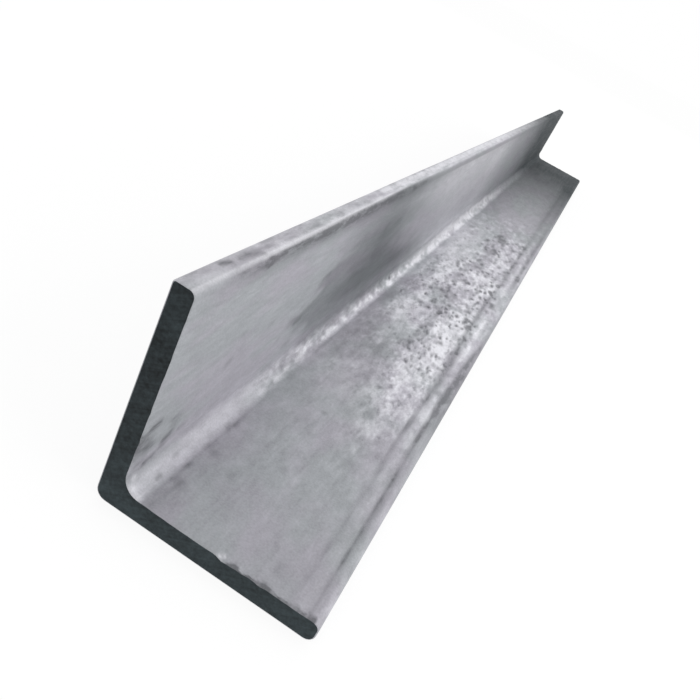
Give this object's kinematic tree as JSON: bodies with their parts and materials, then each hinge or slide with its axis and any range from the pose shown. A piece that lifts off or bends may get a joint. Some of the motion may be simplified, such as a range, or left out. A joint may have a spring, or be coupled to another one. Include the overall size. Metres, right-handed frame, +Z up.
{
  "type": "equal-leg steel angle section",
  "caption": "Straight length of hot-rolled steel angle: two equal flat legs at a right angle, rounded root, heel and toes, ends sawn square.",
  "frame": {"origin": "floor level under the middle of the bar: the centre of the bounding box's underside", "axes": "+Y along the bar, +Z up along the upright leg, +X from the heel to the toe of the lower leg, which lies flat"},
  "size_m": [0.08, 1, 0.08],
  "materials": {
    "rolled_steel": "hot-rolled steel, dull light grey with darker streaks and pitting; the sawn ends are dark slate grey"
  },
  "bodies": {
    "root": {"angle_section": "rolled_steel"}
  },
  "joints": []
}
